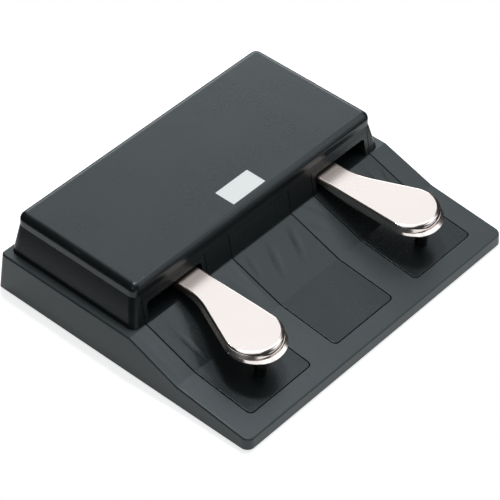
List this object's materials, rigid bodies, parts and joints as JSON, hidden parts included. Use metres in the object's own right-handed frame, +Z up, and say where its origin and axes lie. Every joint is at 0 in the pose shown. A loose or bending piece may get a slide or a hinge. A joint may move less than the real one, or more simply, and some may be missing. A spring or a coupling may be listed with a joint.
{
  "type": "double sustain pedal",
  "caption": "Low housing with a raised rear cover and hinged round-padded sustain pedals that come out through windows beside a blanked middle bay.",
  "frame": {"origin": "centre of the bounding box's bottom, on the plane of the feet's lower faces", "axes": "+Z up, -Y towards the player's foot, +X to the player's right"},
  "size_m": [0.25, 0.21, 0.059],
  "materials": {
    "housing_plastic": "fine grain, charcoal",
    "panel_plastic": "fine grain, charcoal",
    "inner_plastic": "moulded, black",
    "polished_nickel": "polished plating, slightly warm",
    "label_white": "bare white",
    "black_rubber": "smooth",
    "zinc_steel": "zinc plated",
    "spring_steel": "drawn wire",
    "bearing_plastic": "natural acetal",
    "grey_felt": "pressed felt",
    "board_laminate": "green solder resist"
  },
  "bodies": {
    "base": {"base_housing": "housing_plastic", "top_cover": "housing_plastic", "label_plate": "label_white", "centre_blank_panel": "panel_plastic", "bottom_plate": "zinc_steel", "front_right_foot": "black_rubber", "front_left_foot": "black_rubber", "rear_right_foot": "black_rubber", "rear_left_foot": "black_rubber", "plate_screws": "zinc_steel", "panel_screws": "zinc_steel", "cover_screws": "zinc_steel", "cable_grommet": "black_rubber", "terminal_board": "board_laminate", "board_connectors": "bearing_plastic", "board_screws": "zinc_steel", "right_bay_panel": "panel_plastic", "right_pivot_axle": "zinc_steel", "right_axle_clips": "spring_steel", "right_pivot_bracket": "zinc_steel", "right_bracket_screws": "zinc_steel", "right_return_spring": "spring_steel", "right_rest_pad": "grey_felt", "right_stop_bumper": "black_rubber", "right_switch_body": "inner_plastic", "right_switch_screws": "zinc_steel", "right_switch_lead": "black_rubber", "left_bay_panel": "panel_plastic", "left_pivot_axle": "zinc_steel", "left_axle_clips": "spring_steel", "left_pivot_bracket": "zinc_steel", "left_bracket_screws": "zinc_steel", "left_return_spring": "spring_steel", "left_rest_pad": "grey_felt", "left_stop_bumper": "black_rubber", "left_switch_body": "inner_plastic", "left_switch_screws": "zinc_steel", "left_switch_lead": "black_rubber"},
    "right_pedal_lever": {"right_pedal": "polished_nickel", "right_pivot_bushes": "bearing_plastic"},
    "right_plunger": {"right_switch_plunger": "bearing_plastic"},
    "left_pedal_lever": {"left_pedal": "polished_nickel", "left_pivot_bushes": "bearing_plastic"},
    "left_plunger": {"left_switch_plunger": "bearing_plastic"}
  },
  "joints": [
    {"name": "right_pedal_tilt", "type": "hinge", "parent": "base", "child": "right_pedal_lever", "pos_m": [0.0664, 0.019, 0.0328], "axis": [1, 0, 0], "range_deg": [0, 8.7], "stiffness_Nm_per_rad": 5, "springref_deg": -11.46, "deforming": ["right_return_spring"]},
    {"name": "right_plunger_slide", "type": "slide", "parent": "base", "child": "right_plunger", "axis": [0, 0, 1], "range_m": [0, 0.0022]},
    {"name": "left_pedal_tilt", "type": "hinge", "parent": "base", "child": "left_pedal_lever", "pos_m": [-0.0664, 0.019, 0.0328], "axis": [1, 0, 0], "range_deg": [0, 8.7], "stiffness_Nm_per_rad": 5, "springref_deg": -11.46, "deforming": ["left_return_spring"]},
    {"name": "left_plunger_slide", "type": "slide", "parent": "base", "child": "left_plunger", "axis": [0, 0, 1], "range_m": [0, 0.0022]}
  ],
  "couplings": [
    {"joint": "right_plunger_slide", "follows": "right_pedal_tilt", "m_per_rad": 0.014},
    {"joint": "left_plunger_slide", "follows": "left_pedal_tilt", "m_per_rad": 0.014}
  ]
}
